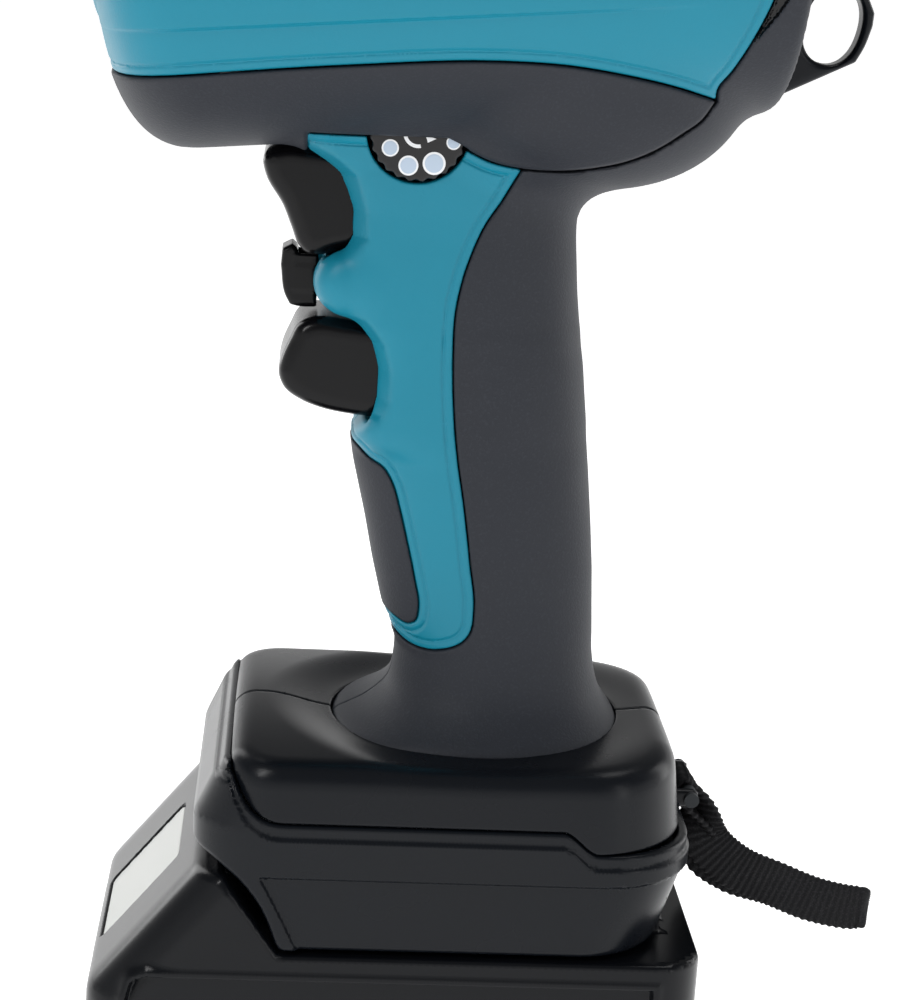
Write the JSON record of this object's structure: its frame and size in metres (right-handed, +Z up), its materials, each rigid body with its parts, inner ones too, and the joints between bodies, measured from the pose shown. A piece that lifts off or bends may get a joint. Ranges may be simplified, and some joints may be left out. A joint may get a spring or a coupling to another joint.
{
  "type": "cordless dust blower",
  "caption": "Cordless pistol-grip air blower: round motor barrel with a front nozzle, leaning soft grip with finger triggers, wide foot, slide-on battery and wrist strap.",
  "frame": {"origin": "centre of the battery pack's flat underside, which the tool stands on", "axes": "+Z up through the grip, the nozzle points towards -X, +Y across the tool"},
  "size_m": [0.2298, 0.088, 0.291],
  "materials": {
    "housing_teal": "fine satin moulded",
    "soft_grip": "fine grained soft-touch",
    "foot_black": "satin moulded",
    "control_black": "polished",
    "dial_black": "satin, white dots",
    "nozzle_black": "fine grained",
    "battery_black": "satin moulded",
    "label_grey": "blank film",
    "strap_web": "woven webbing",
    "filter_mesh": "mesh",
    "screw_steel": "zinc plated",
    "shaft_steel": "ground",
    "magnet": "ground",
    "lamination": "stamped",
    "copper": "enamelled wire",
    "contact_brass": "plated",
    "aluminium": "satin",
    "duct_plastic": "moulded",
    "mount_rubber": "soft",
    "board_green": "solder mask",
    "chip_black": "moulded",
    "lead_red": "insulation",
    "cell_wrap": "shrink wrap"
  },
  "bodies": {
    "main_body": {"air_duct": "duct_plastic", "belly_cover_left": "soft_grip", "belly_cover_right": "soft_grip", "boost_switch": "duct_plastic", "controller_board": "board_green", "controller_heatsink": "aluminium", "controller_parts": "chip_black", "dial_encoder": "duct_plastic", "fan_inlet": "duct_plastic", "foot_base": "foot_black", "foot_crown_left": "foot_black", "foot_crown_right": "foot_black", "grip_back_left": "soft_grip", "grip_back_right": "soft_grip", "grip_insert_left": "soft_grip", "grip_insert_right": "soft_grip", "hanging_loop": "foot_black", "housing_left": "housing_teal", "housing_right": "housing_teal", "housing_screws": "screw_steel", "intake_cover": "foot_black", "intake_filter": "filter_mesh", "intake_screws": "screw_steel", "lock_bracket": "control_black", "lower_trigger_spring": "screw_steel", "motor_bearings": "shaft_steel", "motor_coils": "copper", "motor_frame": "duct_plastic", "motor_leads": "lead_red", "motor_mounts": "mount_rubber", "motor_stator": "lamination", "outlet_funnel": "duct_plastic", "speed_switch": "duct_plastic", "strap_bar": "foot_black", "terminal_blades": "contact_brass", "terminal_block": "duct_plastic", "upper_trigger_spring": "screw_steel", "wrist_strap": "strap_web"},
    "upper_trigger": {"upper_trigger": "control_black"},
    "lower_trigger": {"lower_trigger": "control_black"},
    "lock_lever": {"lock_lever": "control_black"},
    "speed_dial": {"speed_dial": "dial_black"},
    "rotor": {"motor_shaft": "shaft_steel", "motor_rotor": "magnet", "impeller": "aluminium", "impeller_nut": "screw_steel"},
    "nozzle_lock_ring": {"nozzle_lock_ring": "nozzle_black"},
    "nozzle": {"nozzle": "nozzle_black"},
    "battery": {"battery_case_lower": "battery_black", "battery_case_upper": "battery_black", "battery_label": "label_grey", "battery_cells": "cell_wrap", "cell_holder_left": "duct_plastic", "cell_holder_right": "duct_plastic", "cell_straps": "contact_brass", "battery_board": "board_green", "battery_contacts": "contact_brass", "release_spring": "screw_steel"},
    "release_latch": {"release_button": "control_black", "latch_catch": "control_black"}
  },
  "joints": [
    {"name": "upper_trigger_pull", "type": "slide", "parent": "main_body", "child": "upper_trigger", "axis": [1, 0, 0], "range_m": [0, 0.006], "stiffness_N_per_m": 500, "springref_m": -0.004, "deforming": ["upper_trigger_spring"]},
    {"name": "lower_trigger_pull", "type": "slide", "parent": "main_body", "child": "lower_trigger", "axis": [1, 0, 0], "range_m": [0, 0.006], "stiffness_N_per_m": 500, "springref_m": -0.004, "deforming": ["lower_trigger_spring"]},
    {"name": "lock_lever_slide", "type": "slide", "parent": "main_body", "child": "lock_lever", "axis": [0, 1, 0], "range_m": [-0.003, 0.003]},
    {"name": "speed_dial_turn", "type": "hinge", "parent": "main_body", "child": "speed_dial", "pos_m": [-0.0034, -0.0194, 0.2004], "axis": [0, 1, 0], "range_deg": [-40, 80]},
    {"name": "rotor_spin", "type": "hinge", "parent": "main_body", "child": "rotor", "pos_m": [0, 0, 0.2425], "axis": [0.9952, 0, 0.0976], "continuous": true},
    {"name": "nozzle_lock_turn", "type": "hinge", "parent": "main_body", "child": "nozzle_lock_ring", "pos_m": [-0.07365, 0, 0.23528], "axis": [0.9952, 0, 0.0976], "range_deg": [0, 30]},
    {"name": "nozzle_pull", "type": "slide", "parent": "main_body", "child": "nozzle", "axis": [-0.9952, 0, -0.0976], "range_m": [0, 0.04]},
    {"name": "battery_slide", "type": "slide", "parent": "main_body", "child": "battery", "axis": [-1, 0, 0], "range_m": [0, 0.11]},
    {"name": "release_press", "type": "slide", "parent": "battery", "child": "release_latch", "axis": [0, 0, -1], "range_m": [0, 0.0035], "stiffness_N_per_m": 600, "springref_m": -0.004, "deforming": ["release_spring"]}
  ]
}
